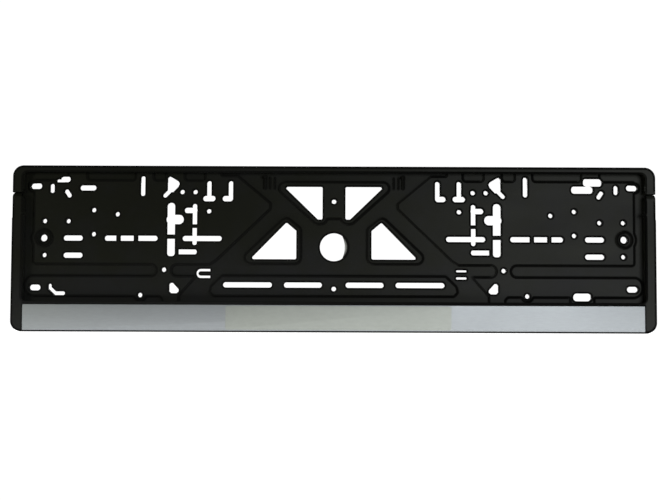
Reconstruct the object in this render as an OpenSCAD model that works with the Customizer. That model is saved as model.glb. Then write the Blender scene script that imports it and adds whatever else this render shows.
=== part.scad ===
// Number plate holder: a moulded tray that is screwed to the car, and a hinged frame that clamps the plate.
// The back face lies on Y = 0 and the front looks along -Y. The origin is the centre of the four corner slots.

/* [Number plate] */
// Width of the plate that the holder takes
plate_w = 520; // [512:1:526]
// Height of the plate
plate_h = 112; // [110:0.5:114]
// Play at each side of the plate
plate_side_play = 0.9; // [0.5:0.1:1.5]
// Play above and below the plate
plate_top_play = 0.6; // [0.3:0.1:1]
// Height of the plate's centre above the centre of the corner slots
plate_rise = 1; // [0:0.5:3]

/* [Tray] */
// Thickness of the moulded sheet
sheet_t = 2; // [1.6:0.1:2.2]
// Height of the raised fields above the sheet
emboss = 1.2; // [0.8:0.1:1.5]
// Depth of the rim, from the back face to the front
rim_depth = 11; // [10.6:0.1:12]
// Thickness of the rim's walls
wall_t = 2; // [1.6:0.1:2.2]
// Thickness of the front lip and of the bar's front
lip_t = 1.8; // [1.4:0.1:2]
// Width of each side rim outside the plate's pocket
side_rim_w = 8.6; // [7.6:0.1:9.6]
// How far the side lips reach over the pocket
side_lip = 0.6; // [0.4:0.1:1.2]
// How far the top lip reaches over the pocket
top_lip = 3.7; // [2.5:0.1:4]
// Radius of the outer corners
corner_r = 9; // [7:0.5:11]
// Radius of the lip's inner corners
lip_corner_r = 4; // [2:0.5:6]
// Radius of the rim's outer front edge
edge_r = 1.8; // [1:0.1:2]
// Width of the raised border round each central window
border_w = 4.2; // [3:0.1:4.5]
// Outer radius of the ring round each boss hole
boss_r = 7.5; // [6.5:0.5:8]
// Width of the ring round each boss hole
boss_ring_w = 2; // [1:0.5:2.5]
// Height of the ring above the field
boss_h = 0.8; // [0.4:0.1:1.2]

/* [Holes] */
// Distance of the corner slots' centres from the pocket's sides
corner_slot_in = 9.8; // [9:0.2:12]
// Vertical distance between the corner slots' centres
corner_slot_dz = 85.5; // [82:0.4:88]
// Length of a corner slot
corner_slot_l = 9.4; // [8:0.2:11]
// Height of a corner slot
corner_slot_h = 4.8; // [4:0.2:5.6]
// Height of the other level slots
slot_h = 4.4; // [4:0.1:5.2]
// Length of the long level slots beside the bosses
side_slot_l = 16.2; // [14:0.2:18]
// Radius of the small screw holes
screw_hole_r = 1.9; // [1.6:0.1:2.4]
// Radius of the boss holes
boss_hole_r = 2.9; // [2.5:0.1:4]
// Radius of the large central hole
centre_hole_r = 11.8; // [10:0.2:13]

/* [Flap] */
// Height of the bottom bar
bar_h = 25.4; // [24:0.2:28]
// How far the bar reaches up over the pocket
bar_lip = 1.6; // [1:0.1:2.5]
// Distance of the pivot below the top edge
pivot_drop = 27.2; // [25:0.2:30]
// Radius of the arm's rounded upper end
head_r = 4.2; // [4:0.1:4.4]
// Radius of the pivot pins
pin_r = 1.8; // [1.5:0.1:2]
// Radial clearance of the pins in their bores
pin_play = 0.06; // [0.03:0.01:0.1]
// Clearance between the flap and the tray
flap_play = 0.4; // [0.3:0.1:0.5]
// How much further out the arms stand below their upper ends
arm_step = 0.3; // [0.2:0.1:0.8]
// Length of the arms' inset upper ends, below the pivot
arm_head_l = 17; // [12:0.5:20]
// How far the tabs reach in from the arms
tab_reach = 3; // [2:0.2:4]
// Height of the tabs
tab_h = 2.6; // [2:0.2:4]
// Spacing of the ribs behind the bar
rib_pitch = 44; // [36:1:50]
// Thickness of the ribs behind the bar
rib_t = 1.4; // [1:0.1:2]

/* [Strip] */
// Thickness of the silver strip
strip_t = 0.4; // [0.3:0.1:0.6]
// Depth of the strip's recess in the bar
strip_sink = 0.2; // [0.1:0.05:0.3]
// Distance of the strip from the flap's outer sides
strip_side = 10.4; // [9.5:0.1:14]
// Distance of the strip below the bar's top edge
strip_top = 1.6; // [1.2:0.1:3]
// Distance of the strip above the bar's lower edge
strip_bottom = 2; // [2:0.1:4]
// Width of the plain film on the strip
label_w = 188; // [150:1:200]
// Distance of the film's centre to the right of the middle
label_x = 4; // [-8:0.5:8]
// Thickness of the plain film
label_t = 0.15; // [0.1:0.05:0.3]
// Distance of the film from the strip's upper and lower edges
label_margin = 0.8; // [0.5:0.1:3]

/* [Hidden] */
$fn = 64;

black = [0.09, 0.09, 0.085];
silver = [0.66, 0.68, 0.69];
film_grey = [0.68, 0.7, 0.67];
past = 1;

// Pocket that the plate lies in, and the outline around it
pocket_w = plate_w + 2 * plate_side_play;
pocket_h = plate_h + 2 * plate_top_play;
pocket_top = plate_rise + pocket_h / 2;
pocket_bottom = plate_rise - pocket_h / 2;
side_x = pocket_w / 2;
outer_x = side_x + side_rim_w;
tray_x = outer_x - arm_step;
top_z = pocket_top + wall_t;
bar_top = pocket_bottom + bar_lip;
bottom_z = bar_top - bar_h;
field_d = sheet_t + emboss;
lip_d = rim_depth - lip_t;
wall_d = lip_d - flap_play;
ledge_z = pocket_bottom - wall_t;

// Pivot of the flap, and the seams beside it
pin_z = top_z - pivot_drop;
pin_d = rim_depth - head_r;
seam_z = pin_z + head_r + flap_play;
step_z = pin_z - arm_head_l;
barrel_in = side_rim_w - wall_t - flap_play;
skirt_in = wall_t + flap_play;
skirt_d = 0.6;
tab_z = step_z + tab_h + 1;

// Heights of the hole rows and channels, from the centre of the corner slots
slot_row = -1;
channel_z = -27.9;
channel_w = 9.4;
channel_end = 111.6;
short_channel = 129;
groove_z = 48.2;
field_bottom = -50;
corner_z = corner_slot_dz / 2;
boss_in = 16.7;
side_slot_in = 41.3;
side_slot_z = [slot_row, -15.5];

// Small screw holes at both ends: distance from the pocket's side, height
end_screws = [
    [17.2, 13.3], [17.2, -15.4], [37.1, 13.3], [58.5, 22.7], [58.5, 2.4], [78.4, 19.3],
    [132.9, 38.3], [143.9, 38.3], [155.5, 22.1], [118, -27.4], [98.2, -48.8]
];
// Slots that run from point to point at both ends: width, then points as above
end_slots = [
    [3.5, [[23.3, 43], [23.3, 38.8]]],
    [3.6, [[35.5, 38.3], [37.7, 35]]],
    [3.7, [[99.7, 49.8], [99.7, 36.6]]],
    [3.7, [[155.6, 45.9], [155.6, 32.8]]],
    [4.7, [[152.8, 32.8], [158.5, 32.8]]],
    [3.7, [[173.8, 45.9], [173.8, 32.8]]],
    [4.7, [[169.2, 32.8], [173.2, 32.8]]],
    [4.6, [[137.3, 22.7], [143.5, 22.7]]],
    [8, [[123.6, 15], [130.3, 15]]],
    [slot_h, [[135.6, slot_row], [164.2, slot_row]]],
    [3.5, [[118.5, 35.2], [122.6, 39.4]]]
];
// Slots at the left end only
left_slots = [
    [2.6, [[28, 47.4], [33.4, 47.4]]],
    [slot_h, [[48.9, 41.4], [58.1, 41.4]]],
    [3, [[22.4, -41], [22.4, -43.2]]],
    [3, [[22.8, -43.4], [27.1, -47.5]]],
    [3, [[26.9, -47.5], [33.7, -47.5]]]
];
// Slots at the right end only
right_slots = [
    [1.6, [[149.9, -27.8], [157.1, -27.8]]],
    [1.8, [[149.9, -33.8], [157.1, -33.8]]]
];
// Row of dashes: ends of the row, then place and width of the webs that part it
dashes = [70, 110.2];
dash_webs = [[77.6, 3.6], [92.3, 3.7]];
// Slot round the spring tongue at the left: centre, start of the tongue's level track, and its width
tongue_slot = [153.1, -30.4];
tongue_start = 4.2;
tongue_w = 3.7;
// Round-cornered openings at both ends, at the left and at the right: centre, size, corner radius,
// and for some the direction of their square-cornered end
end_boxes = [
    [[123.7, 15.7], [6.5, 26.8], 3.1, [0, -1]],
    [[123.7, -8.6], [6.5, 14.6], 2.4, [0, 1]],
    [[137.8, -12.3], [15.3, 4.1], 1.8, [-1, 0]],
    [[143.6, 19.6], [3.8, 17.2], 1.8, [0, -1]],
    [[143.5, 0.7], [3.8, 14.4], 1.8, [0, 1]]
];
left_boxes = [
    [[34.2, 48.6], [8.4, 4.8], 2.2]
];
right_boxes = [
    [[42.9, 47.4], [15.8, 6.5], 2.5],
    [[51.7, 41.1], [18.2, 6.1], 2.5],
    [[52.1, -49.4], [15.2, 6.4], 2.9]
];
// Outlines of the fin-shaped holes, upper and lower
upper_fin = [[120.5, 38.1], [120.5, 50], [121.9, 51.5], [124, 50.6], [129.6, 47.2], [130.6, 45.2], [129.6, 42.7], [125.2, 38.1]];
lower_fin = [[122.7, -39.7], [123.9, -38.5], [125.8, -38.5], [130.6, -43.8], [130.6, -45.6], [128.9, -47.1], [124.2, -47.1], [122.7, -45.6]];

// Central windows: centres of their corners' circles, as distance from the middle and height
window_r = 1.3;
window_steps = 8;
upper_window = [[11, 41.9], [39, 41.9], [13, 16.7], [11, 16.7]];
lower_window = [[33, -16.9], [33, 5.3], [40, 11.2], [67.5, -16.9]];
// The raised borders reach further out at the sharp corners
upper_border = [[11, 41.9], [41.4, 41.9], [13.4, 16.7], [11, 16.7]];
lower_border = [[33, -16.9], [33, 5.3], [40.4, 11.2], [70, -16.9]];
// Lower edge of the raised web between the upper windows
web_z = 15.6;
// Height of the large central hole, and its thin skin at the right: distance from the middle, curve, thickness
centre_z = -7.9;
skin_x = 9.2;
skin_curve_r = 22;
skin_t = 0.8;
screw_axis_z = [30.5, -43.1];
bottom_row = -39.9;
bottom_slots = [[12.2, 39.7], [54.2, 91]];
band = [[0, -32], [94.3, -32], [103.6, -40.9], [104.7, -46], [101.3, -49.6], [0, -49.6]];

// Upright rib with a nib behind the top lip, and the two low ribs beside it
nib_x = 58.2;
nib_z = 51;
nib_w = 2.4;
nib_gap = 3;
nib_rib_t = 1.6;
nib_rib_h = 0.8;
nib_rib_l = 10;
low_rib_t = 1.2;
low_rib_h = 0.7;
low_rib_pitch = 4;

// Prongs behind the bar: distances from the middle, size, and play in their windows
prong_x = [22, 110, 198];
prong_w = 8;
prong_t = 2;
prong_z = (ledge_z + bottom_z) / 2;
prong_play = 0.6;

// Pads round the boss, the corner slots and the lower left and right corners of the fields
boss_pad_r = 10.6;
slot_pad = 1.8;
field_corner_r = 2.6;
low_pad = [44, -32.2];
low_pad_r = 8;
screw_pad_r = 5.2;
low_hollow = [34, 92];

// Outline of the raised field at each end, from the pocket's side
field = [
    [7.6, groove_z + 10], [166.3, groove_z + 10], [166.3, 52.3], [179.7, 52.3], [207.6, 29.2], [207.6, 24.1],
    [161.8, -19.7], [144.5, -30.8], [144.5, -33.8], [130.9, -49.2],
    [130.9, ledge_z], [116.4, ledge_z], [116.4, -52.2], [114.3, field_bottom], [27.6, field_bottom], [27.6, channel_z],
    [7.6, channel_z]
];
// Grooves along the field's upper edge: near and far distance from the pocket's side
grooves = [[-2, 36.6], [52.8, 93.2], [108.8, 119], [135.1, 152]];

// Turns a flat outline, drawn as seen from the front, into a layer between two depths
module layer(from, to)
    translate([0, -from, 0])
        rotate([90, 0, 0])
            linear_extrude(to - from)
                children();

// A slot of even width that runs through a list of points
module track(points, w) {
    for (i = [0:len(points) - 2]) {
        run = points[i + 1] - points[i];
        translate(points[i])
            rotate(atan2(run[1], run[0]))
                translate([0, -w / 2])
                    square([norm(run), w]);
    }
    for (p = points)
        translate(p)
            circle(d = w);
}

// A level slot about its centre, with round ends
module level_slot(x, z, l, h)
    track([[x - (l - h) / 2, z], [x + (l - h) / 2, z]], h);

// A rectangle about its centre, with round corners
module soft_box(size, r) {
    square([size[0] - 2 * r, size[1]], center = true);
    square([size[0], size[1] - 2 * r], center = true);
    for (x = [-1, 1], z = [-1, 1])
        translate([x * (size[0] / 2 - r), z * (size[1] / 2 - r)])
            circle(r);
}

// The listed boxes, with the square-cornered half of those that have one
module soft_boxes(boxes)
    for (b = boxes)
        translate(b[0]) {
            soft_box(b[1], b[2]);
            if (len(b) > 3)
                translate([b[3][0] * b[1][0] / 4, b[3][1] * b[1][1] / 4])
                    square([b[1][0] / (1 + abs(b[3][0])), b[1][1] / (1 + abs(b[3][1]))], center = true);
        }

// Places an outline, drawn from the pocket's side inwards, at the left (-1) or right (1) end
module at_end(side)
    translate([side * side_x, 0])
        mirror([side > 0 ? 1 : 0, 0])
            children();

module at_both_ends()
    for (side = [-1, 1])
        at_end(side)
            children();

// A block between two heights, square at one end and with round corners at the other
module tongue(half_w, from, to, r) {
    up = sign(to - from);
    translate([-half_w, min(from, to - up * r)])
        square([2 * half_w, abs(to - from) - r]);
    translate([-half_w + r, min(from, to)])
        square([2 * (half_w - r), abs(to - from)]);
    for (x = [-1, 1])
        translate([x * (half_w - r), to - up * r])
            circle(r);
}

// Openings

module end_holes() {
    for (z = [-1, 1])
        level_slot(corner_slot_in, z * corner_z, corner_slot_l, corner_slot_h);
    for (p = end_screws)
        translate(p)
            circle(screw_hole_r);
    for (s = end_slots)
        track(s[1], s[0]);
    for (z = side_slot_z)
        level_slot(side_slot_in, z, side_slot_l, slot_h);
    translate([boss_in, slot_row])
        circle(boss_hole_r);
    soft_boxes(end_boxes);
    // Row of dashes, parted by two webs
    difference() {
        track([[dashes[0], slot_row], [dashes[1], slot_row]], slot_h);
        for (web = dash_webs)
            translate([web[0], slot_row - slot_h])
                square([web[1], 2 * slot_h]);
    }
    polygon(upper_fin);
    polygon(lower_fin);
}

module left_holes() {
    for (s = left_slots)
        track(s[1], s[0]);
    soft_boxes(left_boxes);
    // Slot round a spring tongue
    difference() {
        translate(tongue_slot)
            intersection() {
                soft_box([15.6, 7.6], 3.7);
                translate([-8, -5])
                    square([11.8, 10]);
            }
        track([tongue_slot - [tongue_start, 0], tongue_slot + [10, 0]], tongue_w);
    }
}

module right_holes() {
    for (s = right_slots)
        track(s[1], s[0]);
    soft_boxes(right_boxes);
}

// Direction from one point to another, and the clockwise turn from one direction to another
function heading(a, b) = atan2(b[1] - a[1], b[0] - a[0]);
function turn(from, to) = (from - to + 360) % 360;

// Outline round circles at the listed centres, which run clockwise
module window(centres, grow) {
    last = len(centres) - 1;
    r = window_r + grow;
    polygon([
        for (i = [0:last])
            let (
                into = heading(centres[i == 0 ? last : i - 1], centres[i]),
                sweep = turn(into, heading(centres[i], centres[i == last ? 0 : i + 1]))
            )
            for (k = [0:window_steps])
                let (a = into + 90 - sweep * k / window_steps)
                centres[i] + r * [cos(a), sin(a)]
    ]);
}

module windows()
    for (side = [0, 1])
        mirror([side, 0]) {
            window(upper_window, 0);
            window(lower_window, 0);
        }

module centre_holes() {
    windows();
    translate([0, centre_z])
        circle(centre_hole_r);
    for (z = screw_axis_z)
        translate([0, z])
            circle(screw_hole_r);
    for (side = [-1, 1], s = bottom_slots)
        track([[side * s[0], bottom_row], [side * s[1], bottom_row]], slot_h);
}

module all_holes() {
    at_both_ends()
        end_holes();
    at_end(-1)
        left_holes();
    at_end(1)
        right_holes();
    centre_holes();
}

// Raised fields

module end_field() {
    difference() {
        union() {
            polygon(field);
            translate([boss_in, slot_row])
                circle(boss_pad_r);
            translate([corner_slot_in, corner_z])
                soft_box([corner_slot_l + 2 * slot_pad, corner_slot_h + 2 * slot_pad], 3);
            translate([1 + low_pad[0] / 2, (field_bottom + low_pad[1]) / 2])
                soft_box([low_pad[0], low_pad[1] - field_bottom], low_pad_r);
            translate(end_screws[len(end_screws) - 1])
                circle(screw_pad_r);
        }
        for (g = grooves)
            translate([(g[0] + g[1]) / 2, groove_z + 8])
                soft_box([g[1] - g[0], 16], 2.5);
        track([[-10, channel_z], [channel_end - channel_w / 2, channel_z]], channel_w);
        track([[short_channel, channel_z], [field[6][0] + 5, channel_z]], channel_w);
        // Round corner of the field above the channel
        translate([field[0][0], channel_z + channel_w / 2])
            difference() {
                translate([-field_corner_r, -field_corner_r])
                    square(2 * field_corner_r);
                translate([field_corner_r, field_corner_r])
                    circle(field_corner_r);
            }
    }
}

module fields() {
    intersection() {
        union() {
            at_both_ends()
                end_field();
            at_end(1)
                translate([right_boxes[2][0][0], field_bottom])
                    soft_box([21, 12.4], 2);
        }
        translate([-side_x, ledge_z])
            square([pocket_w, top_z - wall_t - ledge_z]);
    }
    for (side = [0, 1])
        mirror([side, 0]) {
            window(upper_border, border_w);
            window(lower_border, border_w);
            polygon(band);
        }
    // Raised web between the upper windows
    translate([-upper_window[0][0], web_z])
        square([2 * upper_window[0][0], upper_window[0][1] + window_r + border_w - web_z]);
}

// Hollows behind the raised fields, with a solid collar round each screw hole
module hollow_backs() {
    above = channel_z + channel_w / 2 + wall_t;
    below = channel_z - channel_w / 2 - wall_t;
    at_both_ends()
        difference() {
            union() {
                offset(delta = -wall_t)
                    polygon(field);
                translate([low_hollow[0], field_bottom + wall_t])
                    square([low_hollow[1] - low_hollow[0], below - field_bottom - wall_t]);
            }
            translate([0, groove_z - wall_t])
                square([field[4][0], top_z]);
            translate([0, below])
                square([field[4][0], above - below]);
            translate([boss_in, slot_row])
                circle(boss_r);
            for (p = end_screws)
                translate(p)
                    circle(screw_hole_r + wall_t);
        }
}

// Rim sections: distance in from the outer side, depth from the back face

module outer_edge()
    difference() {
        translate([-past, rim_depth - edge_r])
            square([edge_r + past, edge_r + past]);
        translate([edge_r, rim_depth - edge_r])
            circle(edge_r);
    }

module rim_section(back)
    difference() {
        union() {
            translate([0, back])
                square([wall_t, rim_depth - back]);
            translate([0, lip_d])
                square([wall_t + 1.4, lip_t]);
        }
        outer_edge();
    }

module closed_section(w)
    difference() {
        square([w, rim_depth]);
        outer_edge();
    }

// Runs a rim section down the right side, between two heights
module side_run(x, from, to)
    translate([x, 0, from])
        rotate([0, 0, 180])
            linear_extrude(to - from)
                children();

// Runs a rim section round the upper right corner
module corner_run(x, z)
    translate([x - corner_r, 0, z - corner_r])
        rotate([90, 0, 0])
            rotate_extrude(angle = 90)
                translate([corner_r, 0])
                    mirror([1, 0])
                        children();

// Runs a rim section along the top, between the corners
module top_run(x, z)
    translate([0, 0, z])
        rotate([0, 90, 180])
            linear_extrude(2 * (x - corner_r), center = true)
                children();

module both_sides()
    for (side = [0, 1])
        mirror([side, 0, 0])
            children();

// Tray

module tray_outline() {
    tongue(tray_x, step_z + flap_play, top_z, corner_r);
    tongue(outer_x - skirt_in, step_z + 2 * past, bottom_z + skirt_in, corner_r - skirt_in);
}

module lip_ring()
    difference() {
        tongue(tray_x - edge_r, seam_z, top_z - edge_r, corner_r - edge_r);
        tongue(side_x - side_lip, seam_z - past, pocket_top - top_lip, lip_corner_r);
    }

module tray_rim() {
    top_run(tray_x, top_z)
        rim_section(0);
    both_sides() {
        corner_run(tray_x, top_z)
            rim_section(0);
        side_run(tray_x, seam_z, top_z - corner_r)
            rim_section(0);
        side_run(tray_x, seam_z, seam_z + wall_t)
            closed_section(side_rim_w - arm_step + side_lip);
    }
    layer(lip_d, rim_depth)
        lip_ring();
}

// Inner side wall: full height above the seam, lower and round-ended at the pivot below it
module side_wall()
    translate([side_x, 0, 0])
        rotate([90, 0, 90])
            linear_extrude(wall_t) {
                translate([-lip_d - lip_t / 2, seam_z])
                    square([lip_d + lip_t / 2, top_z - wall_t / 2 - seam_z]);
                translate([-wall_d, ledge_z])
                    square([wall_d, pin_z - ledge_z]);
                translate([-pin_d, pin_z])
                    circle(wall_d - pin_d);
            }

module pivot_pin()
    translate([side_x + wall_t / 2, -pin_d, pin_z])
        rotate([0, 90, 0])
            cylinder(r = pin_r, h = outer_x - arm_step - flap_play - side_x - wall_t / 2);

// Upright rib with a nib that presses the plate against the top lip
module plate_rib() {
    translate([nib_x - nib_rib_t / 2, -field_d - nib_rib_h, nib_z - nib_rib_l])
        cube([nib_rib_t, field_d + nib_rib_h, nib_rib_l]);
    translate([nib_x - nib_w / 2, nib_gap - lip_d, nib_z - nib_w / 2])
        cube([nib_w, lip_d - nib_gap, nib_w]);
    for (i = [1, 2])
        translate([nib_x - i * low_rib_pitch - low_rib_t / 2, -sheet_t - low_rib_h, nib_z - nib_rib_l])
            cube([low_rib_t, sheet_t + low_rib_h, nib_rib_l]);
}

// Thin skin left in the right side of the large central hole
module hole_skin()
    layer(0, skin_t)
        translate([0, centre_z])
            difference() {
                circle(centre_hole_r + wall_t);
                translate([skin_x - skin_curve_r, 0])
                    circle(skin_curve_r);
            }

// Windows in the lower flange for the prongs behind the bar
module prong_windows()
    for (side = [-1, 1], x = prong_x)
        translate([side * x, prong_z])
            square([prong_w + 2 * prong_play, prong_t + 2 * prong_play], center = true);

module tray() color(black) {
    hole_skin();
    difference() {
        union() {
            layer(0, sheet_t)
                tray_outline();
            layer(0, field_d)
                fields();
            layer(0, field_d + boss_h)
                at_both_ends()
                    translate([boss_in, slot_row])
                        difference() {
                            circle(boss_r);
                            circle(boss_r - boss_ring_w);
                        }
            tray_rim();
            // Ledge under the plate
            layer(0, wall_d)
                translate([-side_x - wall_t / 2, ledge_z])
                    square([pocket_w + wall_t, wall_t]);
            both_sides() {
                side_wall();
                pivot_pin();
                plate_rib();
            }
        }
        layer(-past, rim_depth / 2)
            all_holes();
        layer(-past, sheet_t + past)
            prong_windows();
        layer(-past, emboss)
            hollow_backs();
        // Open back of the side rims
        both_sides()
            translate([side_x + wall_t, -lip_d, seam_z + wall_t])
                cube([side_rim_w - 2 * wall_t - arm_step, lip_d + past, top_z - corner_r - seam_z - wall_t]);
    }
}

// Flap

module flap_face()
    difference() {
        tongue(outer_x - edge_r, step_z, bottom_z + edge_r, corner_r - edge_r);
        tongue(side_x - side_lip, step_z + past, bar_top, lip_corner_r);
    }

// Arm above the step, ending in a round head about the pivot
module arm_head() {
    translate([-arm_step, 0, 0])
        side_run(outer_x, step_z, pin_z)
            rim_section(rim_depth - 2 * head_r);
    // Half turn of the arm's outer part about the pivot, over the top
    translate([outer_x - arm_step, -pin_d, pin_z])
        rotate([90, 0, -90])
            rotate_extrude(angle = 180)
                head_section();
    // Barrel inside the arm, round the pivot's bore
    translate([outer_x - barrel_in, -pin_d, pin_z])
        rotate([0, 90, 0])
            cylinder(r = head_r - 0.2, h = barrel_in - arm_step - wall_t / 2);
    // Inner part of the lip, with its curved end
    translate([side_x - side_lip, -rim_depth, step_z])
        cube([side_rim_w - arm_step + side_lip - edge_r, lip_t, pin_z - step_z]);
    translate([side_x - side_lip, 0, 0])
        rotate([90, 0, 90])
            linear_extrude(outer_x - barrel_in - side_x + side_lip)
                intersection() {
                    translate([-pin_d, pin_z])
                        circle(head_r);
                    translate([-rim_depth - past, pin_z])
                        square([lip_t + past, head_r]);
                }
}

// Half of the head's section: distance from the pivot, distance from the arm's outer side
module head_section()
    difference() {
        square([head_r, barrel_in - arm_step]);
        difference() {
            translate([head_r - edge_r, -past])
                square([edge_r + past, edge_r + past]);
            translate([head_r - edge_r, edge_r])
                circle(edge_r);
        }
    }

module arm_tab()
    layer(lip_d, rim_depth - 0.3)
        polygon([
            [side_x - side_lip + 0.5, tab_z - tab_h / 2], [side_x - side_lip - tab_reach, tab_z],
            [side_x - side_lip - tab_reach, tab_z + tab_h / 2], [side_x - side_lip + 0.5, tab_z + tab_h]
        ]);

// Ribs and prongs behind the bar
module bar_ribs() {
    rib_bottom = bottom_z + wall_t / 2;
    rib_top = ledge_z - 2 * flap_play;
    count = floor((side_x - 10) / rib_pitch);
    for (i = [-count:count])
        translate([i * rib_pitch - rib_t / 2, -lip_d - lip_t / 2, rib_bottom])
            cube([rib_t, lip_d + lip_t / 2 - sheet_t - 2 * flap_play, rib_top - rib_bottom]);
    for (side = [-1, 1], x = prong_x)
        translate([side * x - prong_w / 2, -lip_d - lip_t / 2, prong_z - prong_t / 2])
            cube([prong_w, lip_d + lip_t / 2 - skirt_d, prong_t]);
}

module flap() color(black)
    difference() {
        union() {
            both_sides() {
                side_run(outer_x, bottom_z + corner_r, step_z)
                    rim_section(skirt_d);
                mirror([0, 0, 1])
                    corner_run(outer_x, -bottom_z)
                        rim_section(skirt_d);
                arm_head();
                arm_tab();
            }
            mirror([0, 0, 1])
                top_run(outer_x, -bottom_z)
                    rim_section(skirt_d);
            layer(lip_d, rim_depth)
                flap_face();
            bar_ribs();
        }
        // Pivot bores
        both_sides()
            translate([outer_x - barrel_in - past, -pin_d, pin_z])
                rotate([0, 90, 0])
                    cylinder(r = pin_r + pin_play, h = barrel_in + 2 * past);
        layer(rim_depth - strip_sink, rim_depth + past)
            strip_outline(0.15);
    }

// Strip and film

module strip_outline(grow)
    translate([0, (bar_top - strip_top + bottom_z + strip_bottom) / 2])
        square([2 * (outer_x - strip_side + grow), bar_h - strip_top - strip_bottom + 2 * grow], center = true);

module strip() color(silver)
    layer(rim_depth - strip_sink, rim_depth - strip_sink + strip_t)
        strip_outline(0);

module label() color(film_grey)
    layer(rim_depth - strip_sink + strip_t, rim_depth - strip_sink + strip_t + label_t)
        translate([label_x, (bar_top - strip_top + bottom_z + strip_bottom) / 2])
            soft_box([label_w, bar_h - strip_top - strip_bottom - 2 * label_margin], 0.6);

tray();
flap();
strip();
label();
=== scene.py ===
"""Number plate holder: moulded plastic, silver strip, plain film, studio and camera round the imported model."""

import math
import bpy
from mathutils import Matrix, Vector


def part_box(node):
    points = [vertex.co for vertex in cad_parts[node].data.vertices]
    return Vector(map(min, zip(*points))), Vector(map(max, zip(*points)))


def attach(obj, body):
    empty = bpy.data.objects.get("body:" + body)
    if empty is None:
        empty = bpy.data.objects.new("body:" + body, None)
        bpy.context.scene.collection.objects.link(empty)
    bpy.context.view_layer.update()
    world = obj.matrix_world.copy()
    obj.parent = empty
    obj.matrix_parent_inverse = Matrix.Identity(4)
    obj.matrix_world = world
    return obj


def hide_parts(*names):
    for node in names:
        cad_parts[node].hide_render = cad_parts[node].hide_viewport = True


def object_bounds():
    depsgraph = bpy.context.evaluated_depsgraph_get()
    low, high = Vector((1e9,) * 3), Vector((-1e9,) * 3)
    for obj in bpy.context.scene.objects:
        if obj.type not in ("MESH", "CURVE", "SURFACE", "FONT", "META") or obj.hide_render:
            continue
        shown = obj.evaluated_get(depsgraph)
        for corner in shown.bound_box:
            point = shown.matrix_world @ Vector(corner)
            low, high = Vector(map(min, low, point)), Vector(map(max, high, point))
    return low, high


bl_info = {
    "name": "Number Plate Holder",
    "version": (1, 0, 0),
    "blender": (4, 5, 0),
    "location": "View3D > Sidebar > Plate Holder",
    "description": "Finishes a number plate holder and sets up its studio",
    "category": "Object",
}

import bmesh
import bpy
from bpy.props import FloatProperty, FloatVectorProperty, PointerProperty
from mathutils import Matrix, Vector

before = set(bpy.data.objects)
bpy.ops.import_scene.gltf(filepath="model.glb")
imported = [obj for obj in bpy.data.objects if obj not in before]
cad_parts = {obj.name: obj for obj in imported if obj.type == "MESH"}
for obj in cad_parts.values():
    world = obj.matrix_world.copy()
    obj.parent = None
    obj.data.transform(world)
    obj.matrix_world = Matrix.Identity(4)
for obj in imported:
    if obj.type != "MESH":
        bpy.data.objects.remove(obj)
cad_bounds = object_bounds()
strip_low, strip_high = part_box("strip")
film_low, film_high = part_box("label")


# Sizes and colours

class PlasticLook(bpy.types.PropertyGroup):
    colour: FloatVectorProperty(
        name="Colour", description="Colour of the moulded plastic",
        subtype="COLOR", size=3, min=0, max=1, default=(0.0135, 0.0142, 0.0098))
    cool_colour: FloatVectorProperty(
        name="Cool colour", description="Colour of the plastic's cooler patches",
        subtype="COLOR", size=3, min=0, max=1, default=(0.0158, 0.0162, 0.0158))
    roughness: FloatProperty(
        name="Roughness", description="Mean roughness of the plastic", min=0.1, max=1, default=0.46)
    grain: FloatProperty(
        name="Grain", description="Size of the moulded grain",
        unit="LENGTH", min=0.0001, max=0.002, precision=5, default=0.0005)
    edge: FloatProperty(
        name="Edge radius", description="Radius that the light finds on the moulded edges",
        unit="LENGTH", min=0, max=0.002, precision=5, default=0.0006)
    # line and rim set the reach of the painted shade along steps and outer edges
    line: FloatProperty(
        name="Line width", description="Width of the dark lines on each side of a step",
        unit="LENGTH", min=0.0001, max=0.005, precision=5, default=0.0015)
    rim: FloatProperty(
        name="Rim shade", description="How far the shade reaches in from the outer edges",
        unit="LENGTH", min=0.0002, max=0.005, precision=5, default=0.00175)


class StripLook(bpy.types.PropertyGroup):
    colour: FloatVectorProperty(
        name="Colour", description="Colour of the silver strip",
        subtype="COLOR", size=3, min=0, max=1, default=(0.33, 0.35, 0.365))
    film_colour: FloatVectorProperty(
        name="Film colour", description="Colour of the plain film",
        subtype="COLOR", size=3, min=0, max=1, default=(0.355, 0.375, 0.345))
    roughness: FloatProperty(
        name="Roughness", description="Roughness of the strip", min=0.1, max=1, default=0.45)
    edge: FloatProperty(
        name="Rolled edge", description="Radius of the strip's rolled edges",
        unit="LENGTH", min=0.00002, max=0.0004, precision=5, default=0.0003)
    corner: FloatProperty(
        name="Corner radius", description="Radius of the strip's corners",
        unit="LENGTH", min=0.0001, max=0.003, precision=5, default=0.0006)
    top_gap: FloatProperty(
        name="Gap above", description="Bare part of the recess above the strip",
        unit="LENGTH", min=0, max=0.002, precision=5, default=0.0011)
    overlap: FloatProperty(
        name="Overlap below", description="How far the strip reaches over the recess's lower edge",
        unit="LENGTH", min=0, max=0.001, precision=5, default=0.0007)


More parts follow.
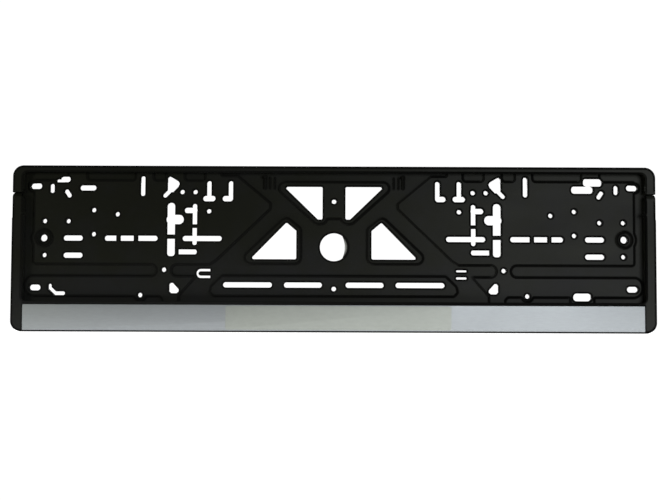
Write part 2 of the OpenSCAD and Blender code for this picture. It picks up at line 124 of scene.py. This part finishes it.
class StudioLook(bpy.types.PropertyGroup):
    distance: FloatProperty(
        name="Distance", description="Distance of the camera from the holder's front",
        unit="LENGTH", min=0.3, max=5, default=0.9)
    elevation: FloatProperty(
        name="Elevation", description="Height of the camera above the horizon",
        subtype="ANGLE", unit="ROTATION", min=-1.5, max=1.5, default=math.radians(-2.84))
    roll: FloatProperty(
        name="Roll", description="Turn of the camera about its own axis",
        subtype="ANGLE", unit="ROTATION", min=-0.2, max=0.2, default=math.radians(0.22))
    pixel: FloatProperty(
        name="Pixel", description="Width that one pixel of the photograph covers at the holder's front",
        unit="LENGTH", min=0.0001, max=0.01, precision=6, default=0.0008339)
    aim_x: FloatProperty(
        name="Aim X", description="Where the camera aims, along the holder",
        unit="LENGTH", min=-0.5, max=0.5, precision=5, default=-0.0003)
    aim_z: FloatProperty(
        name="Aim Z", description="Height at which the camera aims",
        unit="LENGTH", min=-0.5, max=0.5, precision=5, default=-0.0107)
    floor_colour: FloatVectorProperty(
        name="Floor colour", description="Colour of the floor",
        subtype="COLOR", size=3, min=0, max=1, default=(0.86, 0.86, 0.86))
    floor_glow: FloatProperty(
        name="Floor glow", description="Light that the floor gives by itself, as a light table does",
        min=0, max=2, default=1.0)
    ambient: FloatProperty(
        name="Ambient", description="Strength of the light from all round", min=0, max=2, default=0.02)
    power: FloatProperty(
        name="Lamp power", description="Factor on the power of all the lamps", min=0, max=10, default=1.0)


# Node helpers

def new_material(name):
    """An empty material, with its node tree and its shader."""
    material = bpy.data.materials.new(name)
    material.use_nodes = True
    tree = material.node_tree
    tree.nodes.clear()
    output = tree.nodes.new("ShaderNodeOutputMaterial")
    shader = tree.nodes.new("ShaderNodeBsdfPrincipled")
    tree.links.new(shader.outputs["BSDF"], output.inputs["Surface"])
    return material, tree, shader


def feed(tree, socket, value):
    """Gives an input a value, or links it to another node's output socket."""
    if isinstance(value, bpy.types.NodeSocket):
        tree.links.new(value, socket)
    else:
        socket.default_value = value


def add_node(tree, kind, settings=None, **inputs):
    """A node with its settings and inputs. An input named i0, i1 or so is found by its number."""
    node = tree.nodes.new(kind)
    for key, value in (settings or {}).items():
        setattr(node, key, value)
    for key, value in inputs.items():
        numbered = key[0] == "i" and key[1:].isdigit()
        feed(tree, node.inputs[int(key[1:]) if numbered else key.replace("_", " ")], value)
    return node


def object_coordinates(tree, scale=(1, 1, 1)):
    """The place on the object, in metres and then scaled."""
    coordinates = tree.nodes.new("ShaderNodeTexCoord")
    mapping = add_node(tree, "ShaderNodeMapping", Vector=coordinates.outputs["Object"], Scale=scale)
    return mapping.outputs["Vector"]


def noise(tree, vector, scale, detail=2.0, roughness=0.5):
    """Smooth noise round 0.5."""
    node = add_node(tree, "ShaderNodeTexNoise", Vector=vector, Scale=scale, Detail=detail, Roughness=roughness)
    return node.outputs["Fac"]


def spread(tree, value, low, high, to_low=0.0, to_high=1.0):
    """Maps a value's range from low and high to another pair of numbers, and stays between them."""
    node = add_node(
        tree, "ShaderNodeMapRange", Value=value, From_Min=low, From_Max=high, To_Min=to_low, To_Max=to_high)
    return node.outputs["Result"]


def combine(tree, operation, first, *others):
    """One operation over two or more values, from left to right."""
    for other in others:
        node = add_node(tree, "ShaderNodeMath", {"operation": operation}, i0=first, i1=other)
        first = node.outputs["Value"]
    return first


def split(tree, vector):
    """The X, Y and Z of a vector."""
    return add_node(tree, "ShaderNodeSeparateXYZ", Vector=vector).outputs


# Numbers of the Mix node's colour sockets, as its other kinds of sockets have the same names
MIX_FIRST, MIX_SECOND, MIX_RESULT = 6, 7, 2


def blend_colours(tree, factor, first, second):
    """The first colour where the factor is 0 and the second where it is 1."""
    node = add_node(tree, "ShaderNodeMix", {"data_type": "RGBA"}, Factor=factor)
    for number, colour in ((MIX_FIRST, first), (MIX_SECOND, second)):
        is_socket = isinstance(colour, bpy.types.NodeSocket)
        feed(tree, node.inputs[number], colour if is_socket else (*colour, 1))
    return node.outputs[MIX_RESULT]


def openness(tree, distance, samples, inside=False):
    """Lower near the foot of a step, or with inside, near an outer edge."""
    node = add_node(
        tree, "ShaderNodeAmbientOcclusion", {"samples": samples, "only_local": True, "inside": inside},
        Distance=distance)
    return node.outputs["AO"]


def rounded_normal(tree, radius, samples):
    """The surface's direction as if its edges were round."""
    return add_node(tree, "ShaderNodeBevel", {"samples": samples}, Radius=radius).outputs["Normal"]


def shade(colour, factor):
    """A colour made darker or lighter."""
    return tuple(min(1.0, part * factor) for part in colour)


# Materials

# Where most of a noise's values lie
NOISE_RANGE = (0.3, 0.7)

# Tint of the plastic: how patches and height change the flow noise, and what is read from the sum
PATCH_SHARE = (-0.12, 0.12)
COOL_BELOW = (-0.022, -0.034, -0.06, 0.06)
COOL_RANGE = (0.35, 0.68)
DUST_RANGE = (0.66, 0.8, 0, 0.1)
DUST_COLOUR = (0.16, 0.16, 0.15)

# Painted shade lines of the plastic: their colour as a share of its own, and in line widths, how near a step is
# felt
LINE_SHADE = 0.03
SIDE_REACH = 1.5

# Openness or place along the holder, and how plain, free of painted shade, the surface is at its two ends
INNER_LINE = (0.72, 0.96, 0.15, 1)
OUTER_LINE = (0.965, 1, 0.1, 1)
LEFT_END = (-0.1, 0.12, 0.45, 0.08)

# Parts of the surface's direction, from minus one to one, between which a line of painted shade begins or ends
INNER_LEANS_LEFT = (-0.06, 0)
OUTER_LEANS_LEFT = (-0.12, 0)
OUTER_FADE = 0.45
FACES_LEFT = (-0.3, -0.8)
EDGE_FACES_LEFT = (-0.1, -0.35)
FACES_FRONT = (-0.95, -0.995)
FACES_SIDEWAYS = (-0.5, -0.15)
FACES_RIGHT = (0.5, 0.9, 0, 0.7)

# Beside the seams, in metres: the side rim's distance from the middle, and the heights round a seam
SIDE_RIM = (0.2612, 0.2618)
SEAM_BELOW = (0.0305, 0.0315)
SEAM_ABOVE = (0.0395, 0.0385)

# Skin in the centre hole, made pale along its free edge as painted light: the hole's centre level with the skin's
# front, how far in from the hole's edge the painted light grows, and how far behind its front it stops, all in
# metres, and its pale colour
HOLE_CENTRE = (0, -0.0008, -0.0079)
HOLE_RADIUS = 0.0118
SKIN_EDGE = (0.0002, 0.0024)
SKIN_FRONT = (0.0005, 0.0001)
SKIN_PAINTED_LIGHT = (0.55, 0.55, 0.52)

# Surface of the plastic: how far its roughness goes below and above the mean, its grain's depth as a share of the
# grain's size, and its waves' depth in metres
SHEEN_LESS, SHEEN_MORE = 0.07, 0.09
PLASTIC_IOR = 1.5
PLASTIC_SPECULAR = 0.1
GRAIN_DEPTH = 0.12
WAVE_DEPTH = 0.0006

# Silver and floor: how far their colour goes below and above its mean, as a share of it, the depth of the brushed
# lines in metres, and how far the silver's roughness goes below and above its mean
BRUSH_CONTRAST = 0.04
FLOOR_CONTRAST = 0.01
BRUSH_DEPTH = 0.00003
CLOUD_LESS, CLOUD_MORE = 0.03, 0.04


def plastic_tint(tree, where, height, flow, look):
    """Broad cooler patches, more of them low down, under a trace of pale dust."""
    patches = spread(tree, noise(tree, where, scale=45, detail=3, roughness=0.6), *NOISE_RANGE, *PATCH_SHARE)
    coolness = combine(tree, "ADD", flow, patches, spread(tree, height, *COOL_BELOW))
    tint = blend_colours(tree, spread(tree, coolness, *COOL_RANGE), look.colour, look.cool_colour)
    dust = spread(tree, noise(tree, where, scale=620, detail=3, roughness=0.6), *DUST_RANGE)
    return blend_colours(tree, dust, tint, DUST_COLOUR)


def painted_shade_factor(tree, place, look, left_fade):
    """1 on the plain faces, and less in the painted shade lines along the inner and outer edges.

    left_fade, from 0 to 1, says how far the painted shade lines fade where a step faces left, towards the dimmer
    lamp.
    """
    side = split(tree, rounded_normal(tree, look.line * SIDE_REACH, samples=8))["X"]
    facing = split(tree, add_node(tree, "ShaderNodeTexCoord").outputs["Normal"])
    inner = combine(
        tree, "MAXIMUM", spread(tree, openness(tree, look.line, samples=12), *INNER_LINE),
        spread(tree, side, *INNER_LEANS_LEFT, left_fade, 0))
    outer = combine(
        tree, "MAXIMUM", spread(tree, openness(tree, look.rim, samples=32, inside=True), *OUTER_LINE),
        spread(tree, side, *OUTER_LEANS_LEFT, left_fade * OUTER_FADE, 0))
    # Painted shade, made weaker towards the holder's left end, where the light is dimmer, and faded on walls that
    # face left
    lines = combine(
        tree, "MAXIMUM", combine(tree, "MULTIPLY", inner, outer), spread(tree, place["X"], *LEFT_END),
        spread(tree, facing["X"], *FACES_LEFT, 0, left_fade))
    # The moulding's own round edges, between its front and its walls, get painted shade too
    edges = combine(
        tree, "MAXIMUM", spread(tree, facing["Y"], *FACES_FRONT), spread(tree, facing["Y"], *FACES_SIDEWAYS),
        spread(tree, facing["X"], *EDGE_FACES_LEFT, 0, left_fade))
    # Walls that face right, towards the brighter lamp, stay light: the painted shade on them is kept weak
    return combine(
        tree, "MAXIMUM", combine(tree, "MULTIPLY", lines, edges), spread(tree, facing["X"], *FACES_RIGHT),
        beside_seams(tree, place))


def beside_seams(tree, place):
    """1 on the side rims beside the seams, where an arm's round head meets the rim and no painted shade line is
    drawn.
    """
    from_middle = add_node(tree, "ShaderNodeMath", {"operation": "ABSOLUTE"}, i0=place["X"]).outputs["Value"]
    return combine(
        tree, "MULTIPLY", spread(tree, from_middle, *SIDE_RIM),
        spread(tree, place["Z"], *SEAM_BELOW), spread(tree, place["Z"], *SEAM_ABOVE))


def lit_skin(tree, where, place):
    """1 on the front of the thin skin inside the centre hole, along its free edge, where painted light makes it
    pale.
    """
    reach = add_node(tree, "ShaderNodeVectorMath", {"operation": "DISTANCE"}, i0=where, i1=HOLE_CENTRE)
    from_rim = (HOLE_RADIUS - inset for inset in SKIN_EDGE)
    from_front = (HOLE_CENTRE[1] + depth for depth in SKIN_FRONT)
    return combine(
        tree, "MULTIPLY", spread(tree, reach.outputs["Value"], *from_rim), spread(tree, place["Y"], *from_front))


def moulded_plastic(name, look, flow_scale, left_fade, with_painted_skin_light=False):
    """Black plastic with a fine moulded grain, broad tint and sheen changes, and dark lines of painted shade
    along its steps.
    """
    material, tree, shader = new_material(name)
    where = object_coordinates(tree)
    place = split(tree, where)
    flow = noise(tree, object_coordinates(tree, flow_scale), scale=9, detail=4, roughness=0.55)
    # 1 on plain faces, lower where painted shade darkens the lines along steps and edges
    plain = painted_shade_factor(tree, place, look, left_fade)
    tint = plastic_tint(tree, where, place["Z"], flow, look)
    # Painted shade: the colour falls to LINE_SHADE of itself along the lines of steps and edges
    colour = blend_colours(tree, plain, shade(look.colour, LINE_SHADE), tint)
    if with_painted_skin_light:
        # Painted light: the skin's free edge in the centre hole is made pale
        colour = blend_colours(tree, lit_skin(tree, where, place), colour, SKIN_PAINTED_LIGHT)
    sheen = spread(tree, flow, *NOISE_RANGE, look.roughness - SHEEN_LESS, look.roughness + SHEEN_MORE)
    dull = add_node(tree, "ShaderNodeMix", Factor=plain, A=1.0, B=sheen)
    grain = add_node(
        tree, "ShaderNodeBump", Strength=0.22, Distance=look.grain * GRAIN_DEPTH,
        Height=noise(tree, where, scale=1 / look.grain, detail=3, roughness=0.6),
        Normal=rounded_normal(tree, look.edge, samples=6))
    waves = add_node(
        tree, "ShaderNodeBump", Strength=0.12, Distance=WAVE_DEPTH,
        Height=noise(tree, where, scale=26), Normal=grain.outputs["Normal"])
    feed(tree, shader.inputs["Base Color"], colour)
    feed(tree, shader.inputs["Roughness"], dull.outputs["Result"])
    feed(tree, shader.inputs["IOR"], PLASTIC_IOR)
    feed(tree, shader.inputs["Specular IOR Level"], PLASTIC_SPECULAR)
    feed(tree, shader.inputs["Normal"], waves.outputs["Normal"])
    return material


def silver_metal(name, colour, roughness, metallic, brush):
    """Silver face with a fine brushed grain along its length and small sheen changes."""
    material, tree, shader = new_material(name)
    lines = noise(tree, object_coordinates(tree, (1, 1, brush)), scale=160, detail=4, roughness=0.65)
    cloud = noise(tree, object_coordinates(tree), scale=14, detail=3)
    tint = blend_colours(
        tree, spread(tree, lines, *NOISE_RANGE),
        shade(colour, 1 - BRUSH_CONTRAST), shade(colour, 1 + BRUSH_CONTRAST))
    sheen = spread(tree, cloud, *NOISE_RANGE, roughness - CLOUD_LESS, roughness + CLOUD_MORE)
    bump = add_node(tree, "ShaderNodeBump", Strength=0.1, Distance=BRUSH_DEPTH, Height=lines)
    feed(tree, shader.inputs["Base Color"], tint)
    feed(tree, shader.inputs["Roughness"], sheen)
    feed(tree, shader.inputs["Metallic"], metallic)
    feed(tree, shader.inputs["Normal"], bump.outputs["Normal"])
    return material


def floor_finish(look):
    """A dull pale floor that glows white, as a light table does."""
    material, tree, shader = new_material("pale_floor")
    tint = blend_colours(
        tree, noise(tree, object_coordinates(tree), scale=1.2),
        shade(look.floor_colour, 1 - FLOOR_CONTRAST), shade(look.floor_colour, 1 + FLOOR_CONTRAST))
    feed(tree, shader.inputs["Base Color"], tint)
    feed(tree, shader.inputs["Roughness"], 0.9)
    feed(tree, shader.inputs["Emission Color"], (1, 1, 1, 1))
    feed(tree, shader.inputs["Emission Strength"], look.floor_glow)
    return material


# Mesh helpers

# Metres within which two points are level, and the steps of a bar's round corners and of its rolled edge
TOLERANCE = 1e-6
CORNER_STEPS = 6
ROLL_STEPS = 4


def put_in_scene(name, shape, material):
    """Makes a bmesh into an object with one material."""
    mesh = bpy.data.meshes.new(name)
    shape.to_mesh(mesh)
    shape.free()
    mesh.materials.append(material)
    thing = bpy.data.objects.new(name, mesh)
    bpy.context.scene.collection.objects.link(thing)
    return thing


def finish_mesh(name, shape, material, body):
    """Makes a bmesh into a smooth piece that rides on a body."""
    bmesh.ops.recalc_face_normals(shape, faces=shape.faces)
    piece = put_in_scene(name, shape, material)
    for face in piece.data.polygons:
        face.use_smooth = True
    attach(piece, body)
    return piece


def round_off(shape, edges, radius, steps):
    """Rounds a bmesh's edges."""
    bmesh.ops.bevel(
        shape, geom=edges, offset=radius, affect="EDGES", segments=steps, profile=0.5, material=-1)


def soft_bar(low, high, corner, edge):
    """A flat bar between two corners, with round corners seen from the front and a rolled front edge."""
    low, high = Vector(low), Vector(high)
    shape = bmesh.new()
    bmesh.ops.create_cube(shape, size=1)
    bmesh.ops.transform(
        shape, verts=shape.verts,
        matrix=Matrix.Translation((low + high) / 2) @ Matrix.Diagonal((*(high - low), 1)))
    uprights = [e for e in shape.edges if abs(e.verts[0].co.y - e.verts[1].co.y) > TOLERANCE]
    round_off(shape, uprights, corner, CORNER_STEPS)
    front = [e for e in shape.edges if all(abs(v.co.y - low.y) < TOLERANCE for v in e.verts)]
    round_off(shape, front, edge, ROLL_STEPS)
    return shape


def lowered(look, low, high):
    """Corners of a piece on the bar, with its upper and lower edges moved down."""
    return Vector(low) - Vector((0, 0, look.overlap)), Vector(high) - Vector((0, 0, look.top_gap))


def dress(node, material):
    """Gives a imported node's object one material in all its slots."""
    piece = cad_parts[node]
    if not piece.material_slots:
        piece.data.materials.append(material)
    for slot in piece.material_slots:
        slot.material = material


# Operators

# The film beside the strip: its duller face, its corners as a factor, its rolled edge as a share of thickness
FILM_DULLER = 0.08
FILM_CORNER = 3
FILM_ROLL = 0.6


class HOLDER_OT_tray(bpy.types.Operator):
    """Give the tray its moulded finish, with painted shade along its edges and painted light on the skin in its
    centre hole
    """
    bl_idname = "holder.tray"
    bl_label = "Tray finish"

    def execute(self, context):
        look = context.scene.holder_plastic
        plastic = moulded_plastic("tray_plastic", look, flow_scale=(0.5, 1, 1.6), left_fade=1, with_painted_skin_light=True)
        dress("tray", plastic)
        return {"FINISHED"}


class HOLDER_OT_flap(bpy.types.Operator):
    """Give the hinged frame its moulded finish, with painted shade along its edges"""
    bl_idname = "holder.flap"
    bl_label = "Flap finish"

    def execute(self, context):
        look = context.scene.holder_plastic
        plastic = moulded_plastic("flap_plastic", look, flow_scale=(0.3, 1, 1), left_fade=0)
        dress("flap", plastic)
        return {"FINISHED"}


class HOLDER_OT_strip(bpy.types.Operator):
    """Make the silver strip with its rolled edges"""
    bl_idname = "holder.strip"
    bl_label = "Silver strip"

    def execute(self, context):
        look = context.scene.holder_strip
        metal = silver_metal("strip_silver", look.colour, look.roughness, metallic=0.35, brush=6)
        shape = soft_bar(*lowered(look, strip_low, strip_high), look.corner, look.edge)
        piece = finish_mesh("silver_strip", shape, metal, "flap")
        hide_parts("strip")
        return {"FINISHED"}


class HOLDER_OT_film(bpy.types.Operator):
    """Make the plain film on the strip"""
    bl_idname = "holder.film"
    bl_label = "Plain film"

    def execute(self, context):
        look = context.scene.holder_strip
        satin = silver_metal("film_satin", look.film_colour, look.roughness + FILM_DULLER, metallic=0.2, brush=2)
        thickness = film_high[1] - film_low[1]
        shape = soft_bar(*lowered(look, film_low, film_high), FILM_CORNER * look.corner, FILM_ROLL * thickness)
        piece = finish_mesh("film", shape, satin, "flap")
        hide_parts("label")
        return {"FINISHED"}


LAMPS = [
    # name, place, width, height, power, colour
    ("lamp_right", (0.42, -0.8, 0.06), 0.35, 0.35, 3.5, (0.96, 0.985, 1.0)),
    ("lamp_left", (-0.7, -0.65, 0.1), 0.2, 0.2, 0.8, (1.0, 1.0, 0.8)),
    ("lamp_top", (0.0, 0.12, 1.0), 0.3, 0.15, 8.0, (1.0, 1.0, 1.0)),
    ("lamp_back", (-0.3, 0.9, 0.2), 0.35, 0.35, 6.0, (1.0, 1.0, 1.0)),
]

# Floor: half its width, its depth as a share of its width, and its gap below the holder
FLOOR_HALF = 0.32
FLOOR_SHARE = 0.2
FLOOR_GAP = 0.0002

# Colours and strength of the light from all round
WORLD_TINT = (0.95, 0.97, 1, 1)
WHITE = (1, 1, 1, 1)
WHITE_STRENGTH = 1.05

# Camera: the photograph's width in pixels, and the sensor's width and the near limit in metres
PHOTO_WIDTH = 667
SENSOR = 0.036
CLIP_START = 0.01
MILLIMETRES = 1000


class HOLDER_OT_stage(bpy.types.Operator):
    """Lay the pale floor, hang the lamps and place the camera"""
    bl_idname = "holder.stage"
    bl_label = "Studio and camera"

    def execute(self, context):
        look = context.scene.holder_studio
        low, high = cad_bounds
        self.lay_floor(look, low[2])
        centre = (Vector(low) + Vector(high)) / 2
        for name, place, width, height, power, colour in LAMPS:
            self.hang_lamp(name, place, centre, (width, height), power * look.power, colour)
        self.light_world(context.scene, look)
        self.place_camera(context.scene, look, low[1])
        context.scene.view_settings.view_transform = "Standard"
        return {"FINISHED"}

    def lay_floor(self, look, height):
        """A narrow floor just below the holder."""
        shape = bmesh.new()
        bmesh.ops.create_grid(shape, x_segments=8, y_segments=2, size=FLOOR_HALF)
        bmesh.ops.scale(shape, verts=shape.verts, vec=(1, FLOOR_SHARE, 1))
        bmesh.ops.translate(shape, verts=shape.verts, vec=(0, 0, height - FLOOR_GAP))
        floor = put_in_scene("floor", shape, floor_finish(look))

    def hang_lamp(self, name, place, target, size, power, colour):
        """A rectangular lamp turned to the holder and unseen by the camera."""
        lamp = bpy.data.lights.new(name, "AREA")
        lamp.shape = "RECTANGLE"
        lamp.size, lamp.size_y = size
        lamp.energy = power
        lamp.color = colour
        holder = bpy.data.objects.new(name, lamp)
        holder.location = place
        holder.rotation_euler = (target - Vector(place)).to_track_quat("-Z", "Y").to_euler()
        holder.visible_camera = False
        bpy.context.scene.collection.objects.link(holder)

    def light_world(self, scene, look):
        """White to the camera, and a dim even light to the holder."""
        world = bpy.data.worlds.new("studio")
        world.use_nodes = True
        tree = world.node_tree
        tree.nodes.clear()
        path = tree.nodes.new("ShaderNodeLightPath")
        dim = add_node(tree, "ShaderNodeBackground", Color=WORLD_TINT, Strength=look.ambient)
        white = add_node(tree, "ShaderNodeBackground", Color=WHITE, Strength=WHITE_STRENGTH)
        mix = add_node(
            tree, "ShaderNodeMixShader",
            i0=path.outputs["Is Camera Ray"], i1=dim.outputs[0], i2=white.outputs[0])
        add_node(tree, "ShaderNodeOutputWorld", Surface=mix.outputs[0])
        scene.world = world

    def place_camera(self, scene, look, front):
        """The photograph's camera, aimed at a point on the holder's front."""
        data = bpy.data.cameras.new("camera")
        data.sensor_width = MILLIMETRES * SENSOR
        data.lens = MILLIMETRES * SENSOR * look.distance / (look.pixel * PHOTO_WIDTH)
        data.clip_start = CLIP_START
        camera = bpy.data.objects.new("camera", data)
        target = Vector((look.aim_x, front, look.aim_z))
        back = Vector((0, -math.cos(look.elevation), math.sin(look.elevation)))
        camera.location = target + look.distance * back
        turn = (-back).to_track_quat("-Z", "Y").to_matrix() @ Matrix.Rotation(look.roll, 3, "Z")
        camera.rotation_euler = turn.to_euler()
        scene.collection.objects.link(camera)
        scene.camera = camera


class HOLDER_PT_panel(bpy.types.Panel):
    bl_idname = "HOLDER_PT_panel"
    bl_label = "Plate Holder"
    bl_space_type = "VIEW_3D"
    bl_region_type = "UI"
    bl_category = "Plate Holder"

    def draw(self, context):
        layout = self.layout
        for prop in GROUPS:
            group = getattr(context.scene, prop)
            box = layout.box()
            for name in group.__annotations__:
                box.prop(group, name)
        for step in STEPS:
            layout.operator(step.bl_idname)


GROUPS = {"holder_plastic": PlasticLook, "holder_strip": StripLook, "holder_studio": StudioLook}
STEPS = (HOLDER_OT_tray, HOLDER_OT_flap, HOLDER_OT_strip, HOLDER_OT_film, HOLDER_OT_stage)
CLASSES = (*GROUPS.values(), *STEPS, HOLDER_PT_panel)


def register():
    for cls in CLASSES:
        bpy.utils.register_class(cls)
    for name, group in GROUPS.items():
        setattr(bpy.types.Scene, name, PointerProperty(type=group))


def unregister():
    for name in GROUPS:
        delattr(bpy.types.Scene, name)
    for cls in reversed(CLASSES):
        bpy.utils.unregister_class(cls)


def main():
    register()
    bpy.ops.holder.tray()
    bpy.ops.holder.flap()
    bpy.ops.holder.strip()
    bpy.ops.holder.film()
    bpy.ops.holder.stage()


if __name__ == "__main__":
    main()
